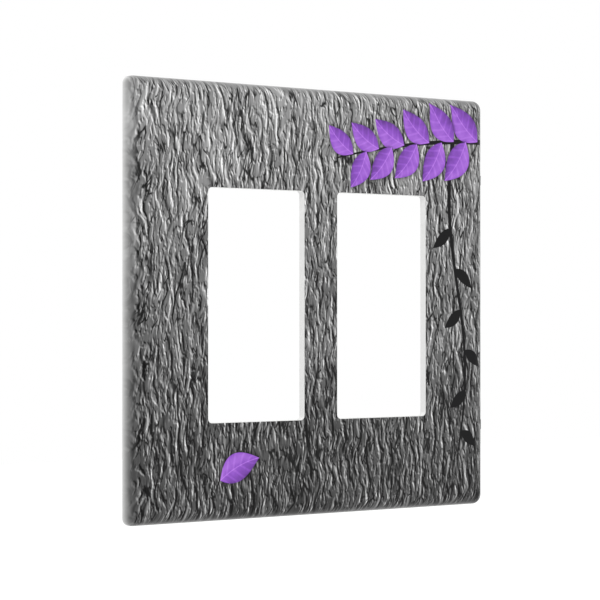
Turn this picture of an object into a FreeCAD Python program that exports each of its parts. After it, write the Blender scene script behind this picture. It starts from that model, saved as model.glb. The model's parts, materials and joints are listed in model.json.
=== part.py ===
import FreeCAD
import Part

import math
import os
from types import SimpleNamespace

import Sketcher

# A two-gang wall plate for decorator rocker switches, of the screwless kind. A printed face plate snaps
# over a hidden sub-plate, and four 6-32 screws hold the sub-plate to the straps of the two switches.
#
# +X is to the right as seen from the room, +Y goes into the wall, +Z is up. The origin is in the plane of
# the wall, in the middle of the four screws. Sketches that face the room lie on the XZ plane, whose
# normal is -Y, so a depth is a distance from the wall towards the room.

DIMENSIONS = {
    # face plate, outside
    "plate_width": "129.5",
    "plate_height": "125.9",
    "plate_depth": "6.35",
    "plate_rise": "1.2",
    "plate_corner": "2.2",
    "front_round": "5.0",
    # face plate, walls
    "skin": "1.8",
    "rim_wall": "2.0",
    "cavity_corner": "1.2",
    "cavity_round": "2.4",
    "rim_lead_in": "0.5",
    # windows for the rockers, and the collar behind each
    "gang_pitch": "46.04",
    "window_width": "33.9",
    "window_height": "67.0",
    "window_corner": "1.3",
    "window_round": "0.3",
    "collar_depth": "2.6",
    "collar_wall": "1.5",
    # ribs on the back of the skin, and pads on the side walls that centre the cover
    "face_rib_height": "0.7",
    "face_rib_width": "1.0",
    "face_rib_offset": "8.5",
    "pad_width": "3.0",
    "pad_height": "1.0",
    "pad_offset": "38.0",
    # slot for a screwdriver in the lower rim
    "pry_width": "8.0",
    "pry_depth": "1.2",
    # sub-plate
    "sub_side_gap": "1.2",
    "sub_end_gap": "1.2",
    "sub_corner": "1.6",
    "sub_front": "3.7",
    "sub_panel": "1.2",
    "sub_window_gap": "0.4",
    "lip_height": "0.4",
    "lip_width": "1.2",
    "skirt_back": "0.8",
    "skirt_wall": "1.2",
    "sub_rib_back": "1.7",
    "sub_rib_width": "1.2",
    "rail_rib_inset": "3.0",
    # bosses of the sub-plate: each seats on a switch's strap and takes a countersunk screw
    "screw_pitch": "96.84",
    "boss_diameter": "12.0",
    "strap_depth": "1.4",
    "hole_diameter": "3.66",
    "sink_diameter": "7.2",
    "sink_angle": "82.0",
    # 6-32 x 1/2 flat-head screws
    "screw_diameter": "3.5",
    "neck_diameter": "3.1",
    "thread_start": "1.2",
    "head_diameter": "6.8",
    "head_edge": "0.15",
    "screw_length": "12.7",
    "tip_chamfer": "0.6",
    "drive_width": "1.1",
    "drive_depth": "0.9",
    "seat_gap": "0.03",
    # snap latches: a toothed beam on the sub-plate and a catch on the face plate
    "latch_offset": "30.0",
    "beam_length": "22.0",
    "beam_slot": "1.8",
    "tooth_length": "14.0",
    "tooth_pitch": "1.2",
    "tooth_height": "0.5",
    "tooth_flat": "0.1",
    "tooth_steep": "0.15",
    "first_tooth": "3.5",
    "catch_height": "0.95",
    "latch_clearance": "0.2",
}
TOOTH_COUNT = 2
SIDES = {"left": -1, "right": 1}
LEVELS = {"lower": -1, "upper": 1}
CORNERS = [
    (f"{level_name}_{side_name}", level, side)
    for level_name, level in LEVELS.items()
    for side_name, side in SIDES.items()
]


class Size:
    """A length together with the expression of the sheet's cells that drives it."""

    def __init__(self, text, number):
        self.text = text
        self.number = number

    def joined(self, sign, other, number):
        return Size(f"({self.text} {sign} {size(other).text})", number)

    def __add__(self, other):
        return self.joined("+", other, self.number + size(other).number)

    def __sub__(self, other):
        return self.joined("-", other, self.number - size(other).number)

    def __mul__(self, other):
        return self.joined("*", other, self.number * size(other).number)

    def __rmul__(self, other):
        return size(other) * self

    def __truediv__(self, other):
        return self.joined("/", other, self.number / size(other).number)

    def __neg__(self):
        return self * -1


def size(thing):
    return thing if isinstance(thing, Size) else Size(f"({thing})", float(thing))


def half_angle_slope(angle):
    """The tangent of half of an angle in degrees."""
    return Size(f"tan({angle.text} * 1 deg / 2)", math.tan(math.radians(angle.number / 2)))


doc = FreeCAD.newDocument("decorator_wall_plate")
sheet = doc.addObject("Spreadsheet::Sheet", "dims")
for row, (alias, number_text) in enumerate(DIMENSIONS.items(), start=1):
    sheet.set(f"A{row}", alias)
    sheet.set(f"B{row}", number_text)
    sheet.setAlias(f"B{row}", alias)
doc.recompute()
d = SimpleNamespace(**{alias: Size(f"dims.{alias}", float(text)) for alias, text in DIMENSIONS.items()})

# Sizes that several pieces share.
HALF_PITCH = d.gang_pitch / 2
SCREW_HEIGHT = d.screw_pitch / 2
CAVITY_WIDTH = d.plate_width - 2 * d.rim_wall
CAVITY_HEIGHT = d.plate_height - 2 * d.rim_wall
SUB_WIDTH = CAVITY_WIDTH - 2 * d.sub_side_gap
SUB_HEIGHT = CAVITY_HEIGHT - 2 * d.sub_end_gap
SUB_WINDOW_WIDTH = d.window_width + 2 * (d.collar_wall + d.sub_window_gap)
SUB_WINDOW_HEIGHT = d.window_height + 2 * (d.collar_wall + d.sub_window_gap)
SUB_WINDOW_CORNER = d.window_corner + d.collar_wall + d.sub_window_gap
SUB_BACK = d.sub_front - d.sub_panel


# ---------------------------------------------------------------- sketches


def new_body(name):
    body = doc.addObject("PartDesign::Body", name)
    body.Label = name
    return body


def new_sketch(body, name, depth=0, role="XZ_Plane"):
    """A sketch on one of the body's own planes, moved along the plane's normal by depth."""
    sketch = body.newObject("Sketcher::SketchObject", name)
    plane = next(feature for feature in body.Origin.OriginFeatures if feature.Role == role)
    sketch.AttachmentSupport = (plane, [""])
    sketch.MapMode = "FlatFace"
    sketch.setExpression(".AttachmentOffset.Base.z", size(depth).text)
    doc.recompute()
    return sketch


def constrain(sketch, kind, *where, driven_by=None):
    """Adds a constraint, with its value bound to a size where one is given."""
    if driven_by is None:
        sketch.addConstraint(Sketcher.Constraint(kind, *where))
        return
    index = sketch.addConstraint(Sketcher.Constraint(kind, *where, driven_by.number))
    sketch.setExpression(f"Constraints[{index}]", driven_by.text)


def place(sketch, point, x, y):
    """Fixes a point, a geometry index and a position on it, at x and y from the sketch's origin."""
    origin = (-1, 1)
    for kind, axis, amount in (("DistanceX", -2, size(x)), ("DistanceY", -1, size(y))):
        if amount.number == 0:
            constrain(sketch, "PointOnObject", *point, axis)
        elif amount.number > 0:
            constrain(sketch, kind, *origin, *point, driven_by=amount)
        else:
            constrain(sketch, kind, *point, *origin, driven_by=-amount)


def rounded_rectangle(sketch, width, height, corner, x=0, y=0):
    """A closed rectangle with round corners about a middle point."""
    middle_x, middle_y = size(x).number, size(y).number
    reach_x = width.number / 2 - corner.number
    reach_y = height.number / 2 - corner.number
    arcs, lines = [], []
    for quarter, (sign_x, sign_y) in enumerate(((1, 1), (-1, 1), (-1, -1), (1, -1))):
        centre = FreeCAD.Vector(middle_x + sign_x * reach_x, middle_y + sign_y * reach_y, 0)
        whole = Part.Circle(centre, FreeCAD.Vector(0, 0, 1), corner.number)
        turn = quarter * math.pi / 2
        arcs.append(sketch.addGeometry(Part.ArcOfCircle(whole, turn, turn + math.pi / 2)))
    for quarter in range(4):
        start = sketch.getPoint(arcs[quarter], 2)
        end = sketch.getPoint(arcs[(quarter + 1) % 4], 1)
        lines.append(sketch.addGeometry(Part.LineSegment(start, end)))
    for quarter in range(4):
        constrain(sketch, "Tangent", arcs[quarter], 2, lines[quarter], 1)
        constrain(sketch, "Tangent", lines[quarter], 2, arcs[(quarter + 1) % 4], 1)
        constrain(sketch, "Horizontal" if quarter % 2 == 0 else "Vertical", lines[quarter])
    for arc in arcs[1:]:
        constrain(sketch, "Equal", arcs[0], arc)
    constrain(sketch, "Radius", arcs[0], driven_by=corner)
    constrain(sketch, "DistanceX", arcs[1], 3, arcs[0], 3, driven_by=width - 2 * corner)
    constrain(sketch, "DistanceY", arcs[3], 3, arcs[0], 3, driven_by=height - 2 * corner)
    middle = sketch.addGeometry(Part.Point(FreeCAD.Vector(middle_x, middle_y, 0)), True)
    constrain(sketch, "Symmetric", arcs[0], 3, arcs[2], 3, middle, 1)
    place(sketch, (middle, 1), x, y)


def polygon(sketch, corners):
    """A closed chain of lines, each corner a pair of sizes."""
    first = sketch.GeometryCount
    points = [FreeCAD.Vector(size(x).number, size(y).number, 0) for x, y in corners]
    for start, end in zip(points, points[1:] + points[:1]):
        sketch.addGeometry(Part.LineSegment(start, end))
    for k in range(len(points)):
        constrain(sketch, "Coincident", first + k, 2, first + (k + 1) % len(points), 1)
    for k, (x, y) in enumerate(corners):
        place(sketch, (first + k, 1), x, y)


def rectangle(sketch, width, height, x=0, y=0):
    """A closed rectangle with sharp corners about a middle point."""
    left, right = size(x) - width / 2, size(x) + width / 2
    low, high = size(y) - height / 2, size(y) + height / 2
    polygon(sketch, [(left, low), (right, low), (right, high), (left, high)])


def circle(sketch, diameter, x, y):
    centre = FreeCAD.Vector(size(x).number, size(y).number, 0)
    index = sketch.addGeometry(Part.Circle(centre, FreeCAD.Vector(0, 0, 1), diameter.number / 2))
    constrain(sketch, "Diameter", index, driven_by=diameter)
    place(sketch, (index, 3), x, y)


def at_each_screw(sketch, diameter):
    for _, level, side in CORNERS:
        circle(sketch, diameter, side * HALF_PITCH, level * SCREW_HEIGHT)


# ---------------------------------------------------------------- features


def require(truth, message):
    if not truth:
        raise RuntimeError(message)


def finish(body, feature, sign=0):
    """Makes the feature the body's tip, and checks that it built and changed the body's volume. The sign
    is 1 for a feature that adds material, -1 for one that cuts, and 0 for one that may do either."""
    base = feature.BaseFeature
    before = base.Shape.Volume if base else 0
    body.Tip = feature
    doc.recompute()
    require("Invalid" not in feature.State, f"{feature.Name} failed")
    require(feature.Shape.isValid(), f"{feature.Name} is not a valid shape")
    change = feature.Shape.Volume - before
    require(change * sign > 0 if sign else change != 0, f"{feature.Name} changed nothing")


def pad(body, name, sketch, length, midplane=False):
    """Adds material from the sketch towards the room, or to both sides of it."""
    doc.recompute()
    feature = body.newObject("PartDesign::Pad", name)
    feature.Profile = sketch
    feature.Midplane = midplane
    feature.setExpression("Length", length.text)
    finish(body, feature, sign=1)


def pocket(body, name, sketch, length=None, along_normal=True):
    """Cuts the sketch out of the body along its normal or against it, right through with no length."""
    doc.recompute()
    feature = body.newObject("PartDesign::Pocket", name)
    feature.Profile = sketch
    feature.Reversed = along_normal
    if length is None:
        feature.Type = "ThroughAll"
    else:
        feature.setExpression("Length", length.text)
    finish(body, feature, sign=-1)


def dress(body, kind, name, amount, chosen):
    """A fillet or chamfer on the edges of the body's last feature whose bounding box is chosen."""
    base = body.Tip
    edges = [f"Edge{k}" for k, edge in enumerate(base.Shape.Edges, start=1) if chosen(edge.BoundBox)]
    require(edges, f"{name} found no edge")
    feature = body.newObject(f"PartDesign::{kind}", name)
    feature.Base = (base, edges)
    feature.setExpression("Radius" if kind == "Fillet" else "Size", amount.text)
    finish(body, feature)


def at_depth(box, depth):
    """Whether an edge lies in the plane that stands depth away from the wall."""
    return max(abs(box.YMin + depth.number), abs(box.YMax + depth.number)) < 1e-4


def inside(box, width, height):
    """Whether an edge lies inside a rectangle of that size about the middle of the plate."""
    reach_x = width.number / 2
    reach_z = height.number / 2
    middle = d.plate_rise.number
    return max(-box.XMin, box.XMax) < reach_x and max(middle - box.ZMin, box.ZMax - middle) < reach_z


# ---------------------------------------------------------------- face plate


def windows_sketch(body, name, depth, width, height, corner):
    """One round-cornered rectangle on each gang's centre line."""
    sketch = new_sketch(body, name, depth)
    for side in SIDES.values():
        rounded_rectangle(sketch, width, height, corner, x=side * HALF_PITCH)
    return sketch


def make_face_plate():
    """The cover: a shallow tray with a round front edge and a window for each rocker."""
    body = new_body("face_plate")

    outline = new_sketch(body, "outline")
    rounded_rectangle(outline, d.plate_width, d.plate_height, d.plate_corner, y=d.plate_rise)
    pad(body, "block", outline, d.plate_depth)
    dress(body, "Fillet", "front_edge", d.front_round, lambda box: at_depth(box, d.plate_depth))

    cavity = new_sketch(body, "cavity_outline")
    rounded_rectangle(cavity, CAVITY_WIDTH, CAVITY_HEIGHT, d.cavity_corner, y=d.plate_rise)
    floor = d.plate_depth - d.skin
    pocket(body, "cavity", cavity, floor)
    dress(body, "Fillet", "cavity_edge", d.cavity_round, lambda box: at_depth(box, floor))
    inner_rim = (CAVITY_WIDTH + d.rim_wall, CAVITY_HEIGHT + d.rim_wall)
    dress(
        body,
        "Chamfer",
        "rim_lead",
        d.rim_lead_in,
        lambda box: at_depth(box, size(0)) and inside(box, *inner_rim),
    )

    add_face_ribs(body, floor)
    add_collars_and_windows(body)
    add_centring_pads(body)
    for name, level, side in CORNERS:
        add_catch(body, name, level, side)

    slot = new_sketch(body, "pry_outline")
    rectangle(slot, d.pry_width, 4 * d.rim_wall, y=d.plate_rise - d.plate_height / 2 - d.rim_wall)
    pocket(body, "pry_slot", slot, d.pry_depth)
    return body


def add_collars_and_windows(body):
    collars = windows_sketch(
        body,
        "collar_outline",
        d.plate_depth - d.collar_depth,
        d.window_width + 2 * d.collar_wall,
        d.window_height + 2 * d.collar_wall,
        d.window_corner + d.collar_wall,
    )
    pad(body, "collars", collars, d.collar_depth - d.skin / 2)
    windows = windows_sketch(body, "window_outline", 0, d.window_width, d.window_height, d.window_corner)
    pocket(body, "windows", windows)
    near_windows = (d.gang_pitch + d.window_width + d.rim_wall, d.window_height + 4 * d.rim_wall)
    dress(
        body,
        "Fillet",
        "window_edge",
        d.window_round,
        lambda box: at_depth(box, d.plate_depth) and inside(box, *near_windows),
    )


def add_face_ribs(body, floor):
    """Low ribs on the back of the skin, which keep it from drumming on the sub-plate: upright ones in the
    stiles and the mullion, and one on each side of the screws in each rail."""
    root = floor - d.face_rib_height
    length = d.face_rib_height + d.skin / 2
    stile = (d.plate_width + d.gang_pitch + d.window_width) / 4
    uprights = new_sketch(body, "upright_rib_outline", root)
    for x in (-stile, size(0), stile):
        rectangle(uprights, d.face_rib_width, d.screw_pitch, x=x)
    pad(body, "upright_ribs", uprights, length)
    rails = new_sketch(body, "rail_rib_outline", root)
    for level in LEVELS.values():
        for step in (-1, 1):
            y = level * (SCREW_HEIGHT + step * d.face_rib_offset)
            rectangle(rails, 2 * stile + d.face_rib_width, d.face_rib_width, y=y)
    pad(body, "rail_ribs", rails, length)


def add_centring_pads(body):
    """Two pads on each side wall, which keep the cover square on the sub-plate."""
    depth = d.rim_lead_in
    pads = new_sketch(body, "pad_outline", depth)
    reach = d.rim_wall / 2 + d.pad_height
    for side in SIDES.values():
        for level in LEVELS.values():
            x = side * ((CAVITY_WIDTH + reach) / 2 - d.pad_height)
            rectangle(pads, reach, d.pad_width, x=x, y=d.plate_rise + level * d.pad_offset)
    pad(body, "centring_pads", pads, d.plate_depth - d.skin - depth)


def tooth_base(index):
    """The depth of a beam tooth's foot on the side of the room."""
    return d.first_tooth - index * d.tooth_pitch


def add_catch(body, name, level, side):
    """A single tooth on the upper or lower wall of the cover. It lies between the last two teeth of the
    beam: steep towards the room, where it holds on the beam's tooth, and sloped towards the wall, where
    it rides in."""
    x = side * d.latch_offset
    sketch = new_sketch(body, f"catch_outline_{name}", x, "YZ_Plane")
    wall = CAVITY_HEIGHT / 2
    crest = wall - d.catch_height
    # The steep faces of the two teeth are parallel, a clearance apart.
    lean = d.tooth_steep * d.sub_end_gap / d.tooth_height
    room_foot = tooth_base(TOOTH_COUNT - 1) + d.tooth_flat + lean - d.latch_clearance
    sink = d.catch_height / d.tooth_height
    steep = room_foot - d.tooth_steep * sink
    ramp = steep - d.tooth_flat
    slope = d.tooth_pitch - d.tooth_flat - d.tooth_steep - d.tooth_flat
    wall_foot = ramp - slope * sink

    def height(z):
        return d.plate_rise + level * z

    root = wall + d.rim_wall / 2
    polygon(
        sketch,
        [
            (-room_foot, height(root)),
            (-room_foot, height(wall)),
            (-steep, height(crest)),
            (-ramp, height(crest)),
            (-wall_foot, height(wall)),
            (-wall_foot, height(root)),
        ],
    )
    length = d.tooth_length + 2 * d.latch_clearance
    pad(body, f"catch_{name}", sketch, length, midplane=True)


# ---------------------------------------------------------------- sub-plate


def make_sub_plate():
    """The hidden frame: a thin panel with two windows and a skirt, ribs and bosses on its back."""
    body = new_body("sub_plate")

    outline = new_sketch(body, "panel_outline", SUB_BACK)
    rounded_rectangle(outline, SUB_WIDTH, SUB_HEIGHT, d.sub_corner, y=d.plate_rise)
    pad(body, "panel", outline, d.sub_panel)

    lips = windows_sketch(
        body,
        "lip_outline",
        SUB_BACK,
        SUB_WINDOW_WIDTH + 2 * d.lip_width,
        SUB_WINDOW_HEIGHT + 2 * d.lip_width,
        SUB_WINDOW_CORNER + d.lip_width,
    )
    pad(body, "window_lips", lips, d.sub_panel + d.lip_height)

    add_skirt(body)
    add_back_ribs(body)
    bosses = new_sketch(body, "boss_outline", d.strap_depth)
    at_each_screw(bosses, d.boss_diameter)
    pad(body, "bosses", bosses, d.sub_front - d.strap_depth)

    windows = windows_sketch(
        body, "sub_window_outline", 0, SUB_WINDOW_WIDTH, SUB_WINDOW_HEIGHT, SUB_WINDOW_CORNER
    )
    pocket(body, "sub_windows", windows)
    add_latch_notches(body)
    add_screw_holes(body)
    return body


def add_skirt(body):
    """A wall that runs round the edge of the panel and reaches back towards the wall."""
    skirt = new_sketch(body, "skirt_outline", d.skirt_back)
    inner_width = SUB_WIDTH - 2 * d.skirt_wall
    inner_height = SUB_HEIGHT - 2 * d.skirt_wall
    rounded_rectangle(skirt, SUB_WIDTH, SUB_HEIGHT, d.sub_corner, y=d.plate_rise)
    rounded_rectangle(skirt, inner_width, inner_height, d.sub_corner - d.skirt_wall / 2, y=d.plate_rise)
    pad(body, "skirt", skirt, SUB_BACK + d.sub_panel / 2 - d.skirt_back)


def add_back_ribs(body):
    """Ribs on the back of the panel: two uprights in the stiles, one in the mullion, and two across each
    rail, beside the bosses."""
    ribs = new_sketch(body, "back_rib_outline", d.sub_rib_back)
    inner_width = SUB_WIDTH - d.skirt_wall
    inner_height = SUB_HEIGHT - d.skirt_wall
    stile = (SUB_WIDTH + d.gang_pitch + SUB_WINDOW_WIDTH) / 4
    for x in (-stile, size(0), stile):
        rectangle(ribs, d.sub_rib_width, inner_height, x=x, y=d.plate_rise)
    pad(body, "upright_ribs", ribs, SUB_BACK + d.sub_panel / 2 - d.sub_rib_back)
    rails = new_sketch(body, "rail_rib_outline", d.sub_rib_back)
    for level in LEVELS.values():
        rail = level * (SUB_WINDOW_HEIGHT / 2 + d.rail_rib_inset)
        rectangle(rails, inner_width, d.sub_rib_width, y=rail)
    pad(body, "rail_ribs", rails, SUB_BACK + d.sub_panel / 2 - d.sub_rib_back)


def add_latch_notches(body):
    """A notch in the edge for each latch beam, wide enough to leave a slot behind the beam."""
    notches = new_sketch(body, "notch_outline")
    reach = d.skirt_wall + d.beam_slot
    for _, level, side in CORNERS:
        y = d.plate_rise + level * (SUB_HEIGHT - reach) / 2
        rectangle(notches, d.beam_length, reach, x=side * d.latch_offset, y=y)
    pocket(body, "latch_notches", notches)


def add_screw_holes(body):
    """A countersunk clearance hole in each boss."""
    centres = new_sketch(body, "hole_centres", d.sub_front)
    at_each_screw(centres, d.hole_diameter)
    doc.recompute()
    holes = body.newObject("PartDesign::Hole", "screw_holes")
    holes.Profile = centres
    doc.recompute()
    holes.ThreadType = 0
    holes.DepthType = 1
    holes.HoleCutType = "Countersink"
    holes.HoleCutCustomValues = True
    holes.setExpression("Diameter", d.hole_diameter.text)
    holes.setExpression("HoleCutDiameter", d.sink_diameter.text)
    holes.setExpression("HoleCutCountersinkAngle", d.sink_angle.text)
    finish(body, holes, sign=-1)


# ---------------------------------------------------------------- latch beams


def make_latch_beam(name, level, side):
    """A stretch of the skirt that is free of the panel, so that it bows inwards when the cover's catch
    passes its saw teeth. It is moulded with the sub-plate."""
    body = new_body(name)
    outer = SUB_HEIGHT / 2
    bar = new_sketch(body, "beam_outline", d.skirt_back)
    y = d.plate_rise + level * (outer - d.skirt_wall / 2)
    rectangle(bar, d.beam_length, d.skirt_wall, x=side * d.latch_offset, y=y)
    pad(body, "beam", bar, d.sub_front - d.skirt_back)

    teeth = new_sketch(body, "teeth_outline", side * d.latch_offset, "YZ_Plane")
    root = d.plate_rise + level * (outer - d.skirt_wall / 2)
    foot = d.plate_rise + level * outer
    crest = d.plate_rise + level * (outer + d.tooth_height)
    corners = [(-tooth_base(0), root)]
    for index in range(TOOTH_COUNT):
        base = tooth_base(index)
        slope_end = base - (d.tooth_pitch - 2 * d.tooth_flat - d.tooth_steep)
        corners.append((-base, foot))
        corners.append((-slope_end, crest))
        corners.append((-(slope_end - d.tooth_flat), crest))
        corners.append((-(slope_end - d.tooth_flat - d.tooth_steep), foot))
    last = tooth_base(TOOTH_COUNT) + d.tooth_flat
    corners.append((-last, root))
    polygon(teeth, corners)
    pad(body, "teeth", teeth, d.tooth_length, midplane=True)
    return body


# ---------------------------------------------------------------- screws


def make_screw(name, level, side):
    """A 6-32 flat-head screw with a slot. Behind its plain neck, the shank is the outside of the thread."""
    body = new_body(name)
    radius = d.screw_diameter / 2
    neck_radius = d.neck_diameter / 2
    head_radius = d.head_diameter / 2
    slope = half_angle_slope(d.sink_angle)
    # The head's cone lies a seat gap inside the cone of its countersink.
    edge = d.sub_front - (d.sink_diameter - d.head_diameter) / 2 / slope + d.seat_gap
    top = edge + d.head_edge
    neck = edge - (head_radius - neck_radius) / slope
    tip = d.screw_length - top
    profile = new_sketch(body, "turned_outline", role="XY_Plane")
    polygon(
        profile,
        [
            (0, -top),
            (head_radius, -top),
            (head_radius, -edge),
            (neck_radius, -neck),
            (neck_radius, -d.thread_start),
            (radius, radius - neck_radius - d.thread_start),
            (radius, tip - d.tip_chamfer),
            (radius - d.tip_chamfer, tip),
            (0, tip),
        ],
    )
    doc.recompute()
    turned = body.newObject("PartDesign::Revolution", "turned")
    turned.Profile = profile
    turned.ReferenceAxis = (profile, ["V_Axis"])
    turned.Angle = 360
    finish(body, turned, sign=1)

    slot = new_sketch(body, "slot_outline", top)
    rectangle(slot, d.head_diameter + 1, d.drive_width)
    pocket(body, "drive_slot", slot, d.drive_depth, along_normal=False)
    body.setExpression(".Placement.Base.x", (side * HALF_PITCH).text)
    body.setExpression(".Placement.Base.z", (level * SCREW_HEIGHT).text)
    return body


# ---------------------------------------------------------------- build and write


pieces = [make_face_plate(), make_sub_plate()]
for corner_name, level_sign, side_sign in CORNERS:
    pieces.append(make_latch_beam(f"latch_beam_{corner_name}", level_sign, side_sign))
    pieces.append(make_screw(f"mounting_screw_{corner_name}", level_sign, side_sign))
doc.recompute()

for item in doc.Objects:
    require("Invalid" not in item.State and "Error" not in item.State, f"{item.Name} did not build")
os.makedirs("parts", exist_ok=True)
for piece in pieces:
    shape = piece.Shape
    require(not shape.isNull() and shape.isValid() and shape.Solids, f"{piece.Label} is not a solid")
    shape.exportStep(f"parts/{piece.Label}.step")
    print(f"{piece.Label}: {len(shape.Solids)} solid, {shape.Volume:.1f} mm3")
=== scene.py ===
import json
import math

import bmesh
import bpy
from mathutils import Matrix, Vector

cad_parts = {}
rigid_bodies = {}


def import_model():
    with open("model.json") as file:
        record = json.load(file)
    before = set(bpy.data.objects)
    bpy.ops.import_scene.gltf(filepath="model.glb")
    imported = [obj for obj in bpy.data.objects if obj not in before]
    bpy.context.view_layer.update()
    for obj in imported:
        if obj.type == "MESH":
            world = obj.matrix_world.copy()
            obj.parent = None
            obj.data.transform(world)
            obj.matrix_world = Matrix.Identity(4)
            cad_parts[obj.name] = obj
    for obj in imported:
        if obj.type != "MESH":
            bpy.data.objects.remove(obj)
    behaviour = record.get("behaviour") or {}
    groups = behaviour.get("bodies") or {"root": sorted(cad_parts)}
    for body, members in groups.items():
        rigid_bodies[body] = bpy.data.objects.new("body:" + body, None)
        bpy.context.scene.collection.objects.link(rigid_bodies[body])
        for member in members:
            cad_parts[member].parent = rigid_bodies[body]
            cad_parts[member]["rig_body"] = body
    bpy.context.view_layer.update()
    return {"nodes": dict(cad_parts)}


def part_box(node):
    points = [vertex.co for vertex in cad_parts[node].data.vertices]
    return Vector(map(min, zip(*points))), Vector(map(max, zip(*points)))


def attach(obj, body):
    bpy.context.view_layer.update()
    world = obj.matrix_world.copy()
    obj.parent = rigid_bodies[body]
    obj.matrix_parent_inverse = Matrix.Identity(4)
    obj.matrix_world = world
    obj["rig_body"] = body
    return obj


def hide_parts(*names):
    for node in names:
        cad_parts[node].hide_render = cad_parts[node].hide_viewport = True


# The looks of a two-gang decorator wall plate: a face plate printed with purple leaves over grey bark, on
# a hidden sub-plate with latch beams and four screws. Materials are worked out in millimetres: x to the
# right, z up, depth from the wall towards the room.

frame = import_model()
nodes = frame["nodes"]
scene = bpy.context.scene
MM = 0.001


# ---------------------------------------------------------------- expressions as shader nodes


class Field:
    """A number that varies over a surface: an output of a shader node, with arithmetic."""

    def __init__(self, paint, socket):
        self.paint = paint
        self.socket = socket

    def math(self, operation, *others):
        return self.paint.math(operation, self, *others)

    def __add__(self, other):
        return self.math("ADD", other)

    def __radd__(self, other):
        return self.math("ADD", other)

    def __sub__(self, other):
        return self.math("SUBTRACT", other)

    def __rsub__(self, other):
        return self.paint.math("SUBTRACT", other, self)

    def __mul__(self, other):
        return self.math("MULTIPLY", other)

    def __rmul__(self, other):
        return self.math("MULTIPLY", other)

    def __truediv__(self, other):
        return self.math("DIVIDE", other)

    def __pow__(self, power):
        return self.math("MAXIMUM", 0.0).math("POWER", power)

    def __abs__(self):
        return self.math("ABSOLUTE")

    def least(self, other):
        return self.math("MINIMUM", other)

    def most(self, other):
        return self.math("MAXIMUM", other)

    def ramp(self, low, high, kind="SMOOTHSTEP"):
        """0 below low, 1 above high, and smooth between. Low may be more than high."""
        node = self.paint.node("MapRange", {"Value": self, "From Min": low, "From Max": high})
        node.interpolation_type = kind
        return Field(self.paint, node.outputs["Result"])

    def to(self, other, share):
        """This, moved towards another value by a share from 0 to 1."""
        return self + (other - self) * share


class Paint:
    """A new material whose node tree is written with expressions."""

    def __init__(self, name, roughness, specular, color=None):
        self.material = bpy.data.materials.new(name)
        self.material.use_nodes = True
        self.tree = self.material.node_tree
        self.shader = self.tree.nodes["Principled BSDF"]
        self.shader.inputs["Roughness"].default_value = roughness
        self.shader.inputs["Specular IOR Level"].default_value = specular
        if color:
            self.shader.inputs["Base Color"].default_value = (*color, 1.0)
        self.coordinates = self.node("TexCoord")
        place = self.node("SeparateXYZ", {"Vector": self.coordinates.outputs["Object"]})
        self.x = Field(self, place.outputs["X"]) / MM
        self.depth = Field(self, place.outputs["Y"]) / -MM
        self.z = Field(self, place.outputs["Z"]) / MM

    def node(self, kind, feeds=None, **settings):
        node = self.tree.nodes.new("ShaderNode" + kind)
        for key, value in settings.items():
            setattr(node, key, value)
        for key, value in (feeds or {}).items():
            self.feed(node.inputs[key], value)
        return node

    def feed(self, socket, value):
        if isinstance(value, Field):
            value = value.socket
        if isinstance(value, bpy.types.NodeSocket):
            self.tree.links.new(value, socket)
        else:
            socket.default_value = value

    def math(self, operation, *values):
        node = self.node("Math", operation=operation)
        for socket, value in zip(node.inputs, values):
            self.feed(socket, value)
        return Field(self, node.outputs[0])

    def vector(self, x, y, z=0.0):
        return self.node("CombineXYZ", {"X": x, "Y": y, "Z": z}).outputs["Vector"]

    def noise(self, x, y, z=0.0, detail=1.0, roughness=0.5):
        """Smooth noise, mostly from 0.25 to 0.75, about one unit to a lump."""
        feeds = {"Vector": self.vector(x, y, z), "Scale": 1.0, "Detail": detail, "Roughness": roughness}
        return Field(self, self.node("TexNoise", feeds).outputs[0])

    def grey(self, level):
        """A grey as it looks on a screen, from 0 black to 1 white, as a colour."""
        return self.vector(*[level**2.2] * 3)

    def between(self, share, low, high):
        """One colour below and another above. Both are triples or outputs."""
        node = self.node("Mix", {"Factor": share}, data_type="RGBA")
        for socket, value in zip((node.inputs[6], node.inputs[7]), (low, high)):
            self.feed(socket, (*value, 1.0) if isinstance(value, tuple) else value)
        return node.outputs[2]

    def bump(self, height, strength, distance):
        """Shading of a height in millimetres."""
        feeds = {"Height": height, "Strength": strength, "Distance": distance * MM}
        self.feed(self.shader.inputs["Normal"], self.node("Bump", feeds).outputs["Normal"])


def screen(red, green, blue):
    """A colour given in the 0 to 255 of a screen."""
    return tuple((level / 255) ** 2.2 for level in (red, green, blue))


# ---------------------------------------------------------------- the print: a leafy twig over grey bark

TURN = 2 * math.pi
INK = screen(14, 14, 15)
SHADE = screen(30, 28, 32)
LEAF_DEEP = screen(50, 28, 78)
LEAF_MIDDLE = screen(140, 84, 192)
LEAF_PALE = screen(196, 134, 240)


def flake_height(paint, x, z):
    """Small raised flakes, longer than they are wide."""
    sway = (paint.noise(x / 4, z / 7, 4.0) - 0.5) * 3.0
    flakes = paint.noise((x + sway) / 0.95, z / 3.4, 2.0, detail=2.0)
    return flakes.ramp(0.5, 0.62)


def ridge_height(paint, x, z):
    """Broad upright ridges that split and join."""
    sway = (paint.noise(x / 9, z / 12, 1.0) - 0.5) * 7.0
    ridges = paint.noise((x + sway) / 2.3, z / 13, 7.0, detail=2.0, roughness=0.6)
    return ridges.ramp(0.46, 0.62)


def fissures(paint):
    """Thin dark cracks that wander down between the ridges."""
    sway = (paint.noise(paint.x / 10, paint.z / 14, 9.0) - 0.5) * 8.0
    field = paint.noise((paint.x + sway) / 3.6, paint.z / 22, 5.0, detail=3.0, roughness=0.55)
    broken = paint.noise(paint.x / 5, paint.z / 6, 3.0).ramp(0.4, 0.52)
    return abs(field - 0.5).ramp(0.022, 0.004) * broken


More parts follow.
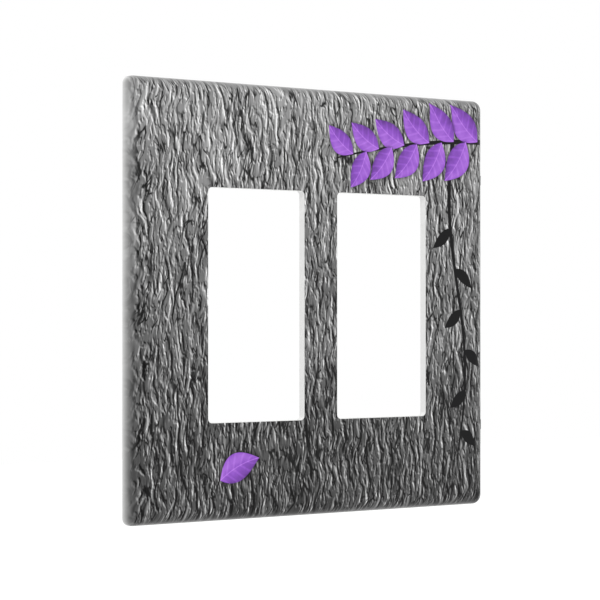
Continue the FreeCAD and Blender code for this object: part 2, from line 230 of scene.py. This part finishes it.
def relief(paint, height, step_x, step_z):
    """How much lighter or darker a height is drawn, lit from beyond its foot."""
    x, z = paint.x, paint.z
    return height(paint, x + step_x, z + step_z) - height(paint, x, z)


def engrave(level, edges, light, dark):
    """Draws the light and the dark edges of a relief, each with its own strength."""
    return level + edges.most(0.0) * light + edges.least(0.0) * dark


def bark_print(paint, smear):
    """Weathered bark, lighter at the top than at the foot, as a grey on a screen. Where smear is 1 the
    bark's marks have run together."""
    cloud = paint.noise(paint.x / 15, paint.z / 24, detail=2.0) - 0.5
    fibre = paint.noise(paint.x / 0.4, paint.z / 7, 8.0, detail=1.0) - 0.5
    plain = 0.41 + paint.z * 0.0024 + cloud * 0.36
    level = plain + fibre * 0.2
    level = engrave(level, relief(paint, flake_height, 0.3, 0.32), 0.32, 0.32)
    level = engrave(level, relief(paint, ridge_height, 0.6, 0.3), 0.34, 0.36)
    level = level.to(0.07, fissures(paint) * 0.85).to(plain, smear)
    return level.most(0.04).least(0.95)


def stroke(side, run, start, end, width, tip):
    """A tapering stroke: side is the way from its middle line, run goes from start, its foot, to end, and
    tip is the share of its width that is left at the end."""
    share = (run - start) / (end - start)
    inside = share.ramp(-0.01, 0.0) * share.ramp(1.01, 1.0)
    half = width * (1.0 - share.most(0.0).least(1.0) * (1.0 - tip))
    return (half - abs(side)).ramp(0.0, 0.2) * inside


def leaf_space(paint, foot, degrees, length, width):
    """A place in a leaf with two pointed ends: how far along it lies, from -1 to 1, how far to the side
    of the midrib in millimetres, and half of the leaf's width there."""
    angle = math.radians(degrees)
    x = paint.x - foot[0] - math.cos(angle) * length / 2
    z = paint.z - foot[1] - math.sin(angle) * length / 2
    along = (x * math.cos(angle) + z * math.sin(angle)) / (length / 2)
    arch = (1.0 - along * along).most(0.0)
    aside = z * math.cos(angle) - x * math.sin(angle) - arch * width * 0.12
    return along, aside, arch * (1.0 - along * 0.25) * (width / 2)


def black_leaf(paint, colour, *shape):
    _, aside, half = leaf_space(paint, *shape)
    return paint.between((half - abs(aside)).ramp(0.0, 0.2), colour, INK)


def purple_leaf(paint, colour, *shape):
    """A leaf with a midrib, side veins, one half in more light, and a soft shadow round it."""
    along, aside, half = leaf_space(paint, *shape)
    nearby = (1.12 - abs(along)).ramp(0.0, 0.2)
    colour = paint.between((half + 1.2 - abs(aside)).ramp(0.0, 1.5) * nearby * 0.6, colour, SHADE)
    share = (aside / half.most(0.05)).most(-1.0).least(1.0)
    edge = abs(share)
    veins = (along * 17.0 - edge * 6.0).math("SINE").ramp(0.35, 1.0)
    rib = (0.24 - abs(aside)).ramp(0.0, 0.22)
    mottle = paint.noise(paint.x / 2.6, paint.z / 2.6, shape[1], detail=2.0) - 0.5
    lit = share.ramp(-0.7, 0.7)
    glow = 0.4 + lit * 0.26 + veins * 0.1 + rib * 0.26 + mottle * 0.36 - edge**4.0 * 0.16 - along * 0.06
    deep = paint.between(glow.ramp(0.05, 0.5, "LINEAR"), LEAF_DEEP, LEAF_MIDDLE)
    tint = paint.between(glow.ramp(0.5, 1.0, "LINEAR"), deep, LEAF_PALE)
    return paint.between((half - abs(aside)).ramp(0.0, 0.2), colour, tint)


def leafy_twig(paint, colour):
    """A twig that reaches in from the right along the upper rail, with purple leaves on both sides."""
    start, end, height, droop = 66.0, 6.0, 51.0, 0.002
    drop = start - paint.x
    twig = stroke(paint.z - height + drop * drop * droop, paint.x, start, end, 0.95, 0.35)
    colour = paint.between(twig, colour, INK)
    leaves, step = 11, 4.9
    for k in range(leaves):
        way = 5.0 + step * k
        foot = (start - way, height - way * way * droop)
        lean = math.degrees(math.atan(2 * droop * way))
        spread = (48 if k % 2 else -48) + 7 * math.sin(2.4 * k)
        size = 15.5 - 0.32 * k
        colour = purple_leaf(paint, colour, foot, 180 + lean + spread, size, size * 0.56)
    return colour


def hanging_twig(paint, colour):
    """A thin twig that hangs down the right stile, with small black leaves."""
    top, end, middle, sway, period = 51.0, -47.0, 52.5, 3.2, 17.0
    line = middle + sway * ((paint.z - end) / period).math("SINE")
    colour = paint.between(stroke(paint.x - line, paint.z, top, end, 0.85, 0.5), colour, INK)
    leaves, step = 6, 12.5
    for k in range(leaves):
        z = 24.0 - step * k
        foot = (middle + sway * math.sin((z - end) / period), z)
        colour = black_leaf(paint, colour, foot, -42 if k % 2 else 222, 9.6 - 0.4 * k, 3.7)
    return colour


# ---------------------------------------------------------------- materials


def printed_plate():
    """The printed face plate: white plastic where the print doesn't reach."""
    paint = Paint("printed_plastic", roughness=0.34, specular=0.1)
    (x_low, _, z_low), (x_high, _, z_high) = [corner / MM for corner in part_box("face_plate")]
    near = (paint.x - x_low).least(x_high - paint.x)
    near = near.least(paint.z - z_low).least(z_high - paint.z)
    smear = near.ramp(2.6, 0.4) * 0.75
    colour = paint.grey(bark_print(paint, smear))
    colour = hanging_twig(paint, colour)
    colour = leafy_twig(paint, colour)
    colour = purple_leaf(paint, colour, (-36.0, -50.0), 24, 15.0, 8.2)

    plastic = screen(236, 236, 235)
    normal = paint.node("SeparateXYZ", {"Vector": paint.coordinates.outputs["Normal"]})
    front = Field(paint, normal.outputs["Y"]).ramp(-0.45, -0.75)
    # The side walls are 2 mm thick. The print covers their outside and stops short of their inside. Its
    # ink thins out on them from fade_depth to the wall.
    rim, fade_depth = 1.8, 4.4
    shown = front.most(near.ramp(rim + 0.1, rim))
    fade = (1.0 - paint.depth / fade_depth) ** 1.6 * 0.85
    inked = shown * (1.0 - fade.least(1.0))
    paint.feed(paint.shader.inputs["Base Color"], paint.between(inked, plastic, colour))
    grain = paint.noise(paint.x * 3, paint.z * 3, paint.depth * 3, detail=3.0)
    paint.bump(grain, strength=0.12, distance=0.02)
    return paint.material


def moulded(name, tint, grain):
    """Plain moulded plastic: a faint matt grain and slow changes of tone."""
    paint = Paint(name, roughness=0.5, specular=0.3)
    cloud = paint.noise(paint.x / 20, paint.z / 20, paint.depth / 20, detail=2.0)
    darker = tuple(level * 0.93 for level in tint)
    colour = paint.between(cloud.ramp(0.3, 0.7), darker, tint)
    paint.feed(paint.shader.inputs["Base Color"], colour)
    texture = paint.noise(paint.x * grain, paint.z * grain, paint.depth * grain, detail=4.0)
    paint.feed(paint.shader.inputs["Roughness"], 0.42 + texture * 0.22)
    paint.bump(texture, strength=0.35, distance=0.03)
    return paint.material


def zinc():
    """Bright zinc on steel, with turning marks and dull patches."""
    paint = Paint("zinc_steel", roughness=0.3, specular=0.5)
    paint.shader.inputs["Metallic"].default_value = 1.0
    patches = paint.noise(paint.x * 1.1, paint.z * 1.1, paint.depth * 1.1, detail=3.0)
    colour = paint.between(patches.ramp(0.35, 0.65), screen(136, 139, 146), screen(184, 185, 184))
    paint.feed(paint.shader.inputs["Base Color"], colour)
    paint.feed(paint.shader.inputs["Roughness"], 0.22 + patches * 0.3)
    marks = paint.noise(paint.x / 3, paint.z / 3, paint.depth * 9, detail=2.0)
    paint.bump(marks, strength=0.25, distance=0.02)
    return paint.material


def dress(obj, material):
    obj.data.materials.clear()
    obj.data.materials.append(material)


# ---------------------------------------------------------------- threaded screws


def thread_radius(y, tip, turn):
    """The radius of the thread's surface at a distance into the wall, part of a turn round."""
    pitch, major, minor = 0.794, 1.74, 1.36
    first_thread, run_in, taper, point = -1.0, 0.8, 0.7, 0.72
    flat_crest = 2.3
    phase = (y / pitch - turn) % 1.0
    crest = min(1.0, flat_crest * (1.0 - abs(2.0 * phase - 1.0)))
    lead = min(1.0, max(0.0, (y - first_thread) / run_in))
    end = min(1.0, max(0.0, (tip - y) / taper))
    return (minor + (major - minor) * crest * lead) * (point + (1.0 - point) * end)


def screw_mesh(top, tip):
    """A slotted flat head, a neck and a real thread round the Y axis, in metres."""
    sides, steps = 36, 112
    head, neck, thread_start = 3.4, 1.5, -1.1
    bevel, head_edge, cone_end, middle = 0.05, 0.15, -1.37, 0.02
    rings = [(-top, middle), (-top, head - bevel), (-top + bevel, head), (-top + head_edge, head)]
    rings.append((cone_end, neck))
    rings += [(thread_start + (tip - thread_start) * k / steps, None) for k in range(steps + 1)]
    rings.append((tip, middle))
    mesh = bmesh.new()
    loops = []
    for y, fixed in rings:
        loop = []
        for k in range(sides):
            radius = thread_radius(y, tip, k / sides) if fixed is None else fixed
            angle = TURN * k / sides
            place = Vector((math.cos(angle) * radius, y, math.sin(angle) * radius))
            loop.append(mesh.verts.new(place * MM))
        loops.append(loop)
    for first, second in zip(loops, loops[1:]):
        for k in range(sides):
            mesh.faces.new((first[k], first[(k + 1) % sides], second[(k + 1) % sides], second[k]))
    mesh.faces.new(loops[0][::-1])
    mesh.faces.new(loops[-1])
    bmesh.ops.recalc_face_normals(mesh, faces=mesh.faces)
    data = bpy.data.meshes.new("screw_blank")
    mesh.to_mesh(data)
    mesh.free()
    data = slotted(data, top)
    for polygon in data.polygons:
        polygon.use_smooth = True
    data.set_sharp_from_angle(angle=math.radians(32))
    return data


def slotted(data, top):
    """The mesh with a screwdriver slot cut across its head."""
    width, depth, length = 1.1, 0.9, 8.0
    box = bmesh.new()
    bmesh.ops.create_cube(box, size=1.0)
    for vert in box.verts:
        reach = Vector((vert.co.x * length, vert.co.y * 2 * depth - top, vert.co.z * width))
        vert.co = reach * MM
    box_data = bpy.data.meshes.new("slot_box")
    box.to_mesh(box_data)
    box.free()
    blank = bpy.data.objects.new("screw_blank", data)
    cutter = bpy.data.objects.new("slot_box", box_data)
    for obj in (blank, cutter):
        scene.collection.objects.link(obj)
    modifier = blank.modifiers.new("slot", "BOOLEAN")
    modifier.operation = "DIFFERENCE"
    modifier.object = cutter
    modifier.solver = "EXACT"
    bpy.context.view_layer.update()
    cut = bpy.data.meshes.new_from_object(blank.evaluated_get(bpy.context.evaluated_depsgraph_get()))
    for obj in (blank, cutter):
        bpy.data.objects.remove(obj)
    return cut


def add_screws(material):
    """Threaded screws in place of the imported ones: the same head, slot and length, and threads whose
    crests lie 0.01 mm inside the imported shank."""
    packed = [name for name in nodes if name.startswith("mounting_screw")]
    low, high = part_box(packed[0])
    data = screw_mesh(-low.y / MM, high.y / MM)
    data.materials.clear()
    data.materials.append(material)
    for name in packed:
        low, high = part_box(name)
        piece = bpy.data.objects.new(name.replace("mounting", "threaded"), data)
        piece.location = ((low.x + high.x) / 2, 0.0, (low.z + high.z) / 2)
        scene.collection.objects.link(piece)
        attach(piece, nodes[name]["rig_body"])
        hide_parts(name)


# ---------------------------------------------------------------- pieces

dress(nodes["face_plate"], printed_plate())
inner_plastic = moulded("moulded_plastic", screen(202, 204, 204), 2.2)
dress(nodes["sub_plate"], inner_plastic)
steel = zinc()
for name, node in nodes.items():
    if name.startswith("latch_beam"):
        dress(node, inner_plastic)
    if name.startswith("mounting_screw"):
        dress(node, steel)
add_screws(steel)


# ---------------------------------------------------------------- stage, light and camera


def add_floor():
    """A pale floor far below, as under a plate at a switch's height."""
    level = -0.5
    mesh = bpy.data.meshes.new("floor")
    reach = 6.0
    corners = [(-reach, -reach, level), (reach, -reach, level), (reach, reach, level), (-reach, reach, level)]
    mesh.from_pydata(corners, [], [(0, 1, 2, 3)])
    floor = bpy.data.objects.new("floor", mesh)
    scene.collection.objects.link(floor)
    paint = Paint("pale_floor", roughness=0.9, specular=0.1, color=(0.9, 0.9, 0.9))
    path = paint.node("LightPath")
    seen = paint.math("MAXIMUM", path.outputs["Is Camera Ray"], path.outputs["Is Glossy Ray"])
    paint.shader.inputs["Emission Color"].default_value = (1.0, 1.0, 1.0, 1.0)
    paint.feed(paint.shader.inputs["Emission Strength"], seen * 0.55)
    dress(floor, paint.material)


def add_world():
    """White where the camera looks past the plate, and a softer light for the plate itself."""
    world = bpy.data.worlds.new("studio")
    world.use_nodes = True
    tree = world.node_tree
    tree.nodes.clear()
    output = tree.nodes.new("ShaderNodeOutputWorld")
    path = tree.nodes.new("ShaderNodeLightPath")
    seen = tree.nodes.new("ShaderNodeMath")
    seen.operation = "MAXIMUM"
    tree.links.new(path.outputs["Is Camera Ray"], seen.inputs[0])
    tree.links.new(path.outputs["Is Glossy Ray"], seen.inputs[1])
    either = tree.nodes.new("ShaderNodeMath")
    either.operation = "MAXIMUM"
    tree.links.new(seen.outputs[0], either.inputs[0])
    tree.links.new(path.outputs["Is Transmission Ray"], either.inputs[1])
    mix = tree.nodes.new("ShaderNodeMixShader")
    for slot, strength in ((1, 0.62), (2, 1.0)):
        background = tree.nodes.new("ShaderNodeBackground")
        background.inputs["Color"].default_value = (1.0, 1.0, 1.0, 1.0)
        background.inputs["Strength"].default_value = strength
        tree.links.new(background.outputs[0], mix.inputs[slot])
    tree.links.new(either.outputs[0], mix.inputs[0])
    tree.links.new(mix.outputs[0], output.inputs["Surface"])
    scene.world = world


def add_lamp(name, place, power, size):
    lamp = bpy.data.lights.new(name, "AREA")
    lamp.energy = power
    lamp.size = size
    obj = bpy.data.objects.new(name, lamp)
    obj.location = place
    obj.rotation_euler = (-Vector(place)).to_track_quat("-Z", "Y").to_euler()
    scene.collection.objects.link(obj)


def add_camera():
    """A long lens to the left of the plate, level with its windows."""
    data = bpy.data.cameras.new("camera")
    data.sensor_width = 36.0
    data.lens = 132.126
    data.clip_start = 0.01
    camera = bpy.data.objects.new("camera", data)
    camera.location = (-0.390266, -0.523812, -0.003326)
    camera.rotation_euler = (math.radians(90.438), 0.0, math.radians(-36.472))
    scene.collection.objects.link(camera)
    scene.camera = camera


add_floor()
add_world()
add_lamp("key", (-0.9, -1.3, 1.2), 16.0, 1.4)
add_lamp("fill", (1.2, -1.2, 0.3), 6.0, 1.6)
add_lamp("back", (-0.4, 1.4, 0.9), 8.0, 1.4)
add_camera()
scene.view_settings.view_transform = "Standard"
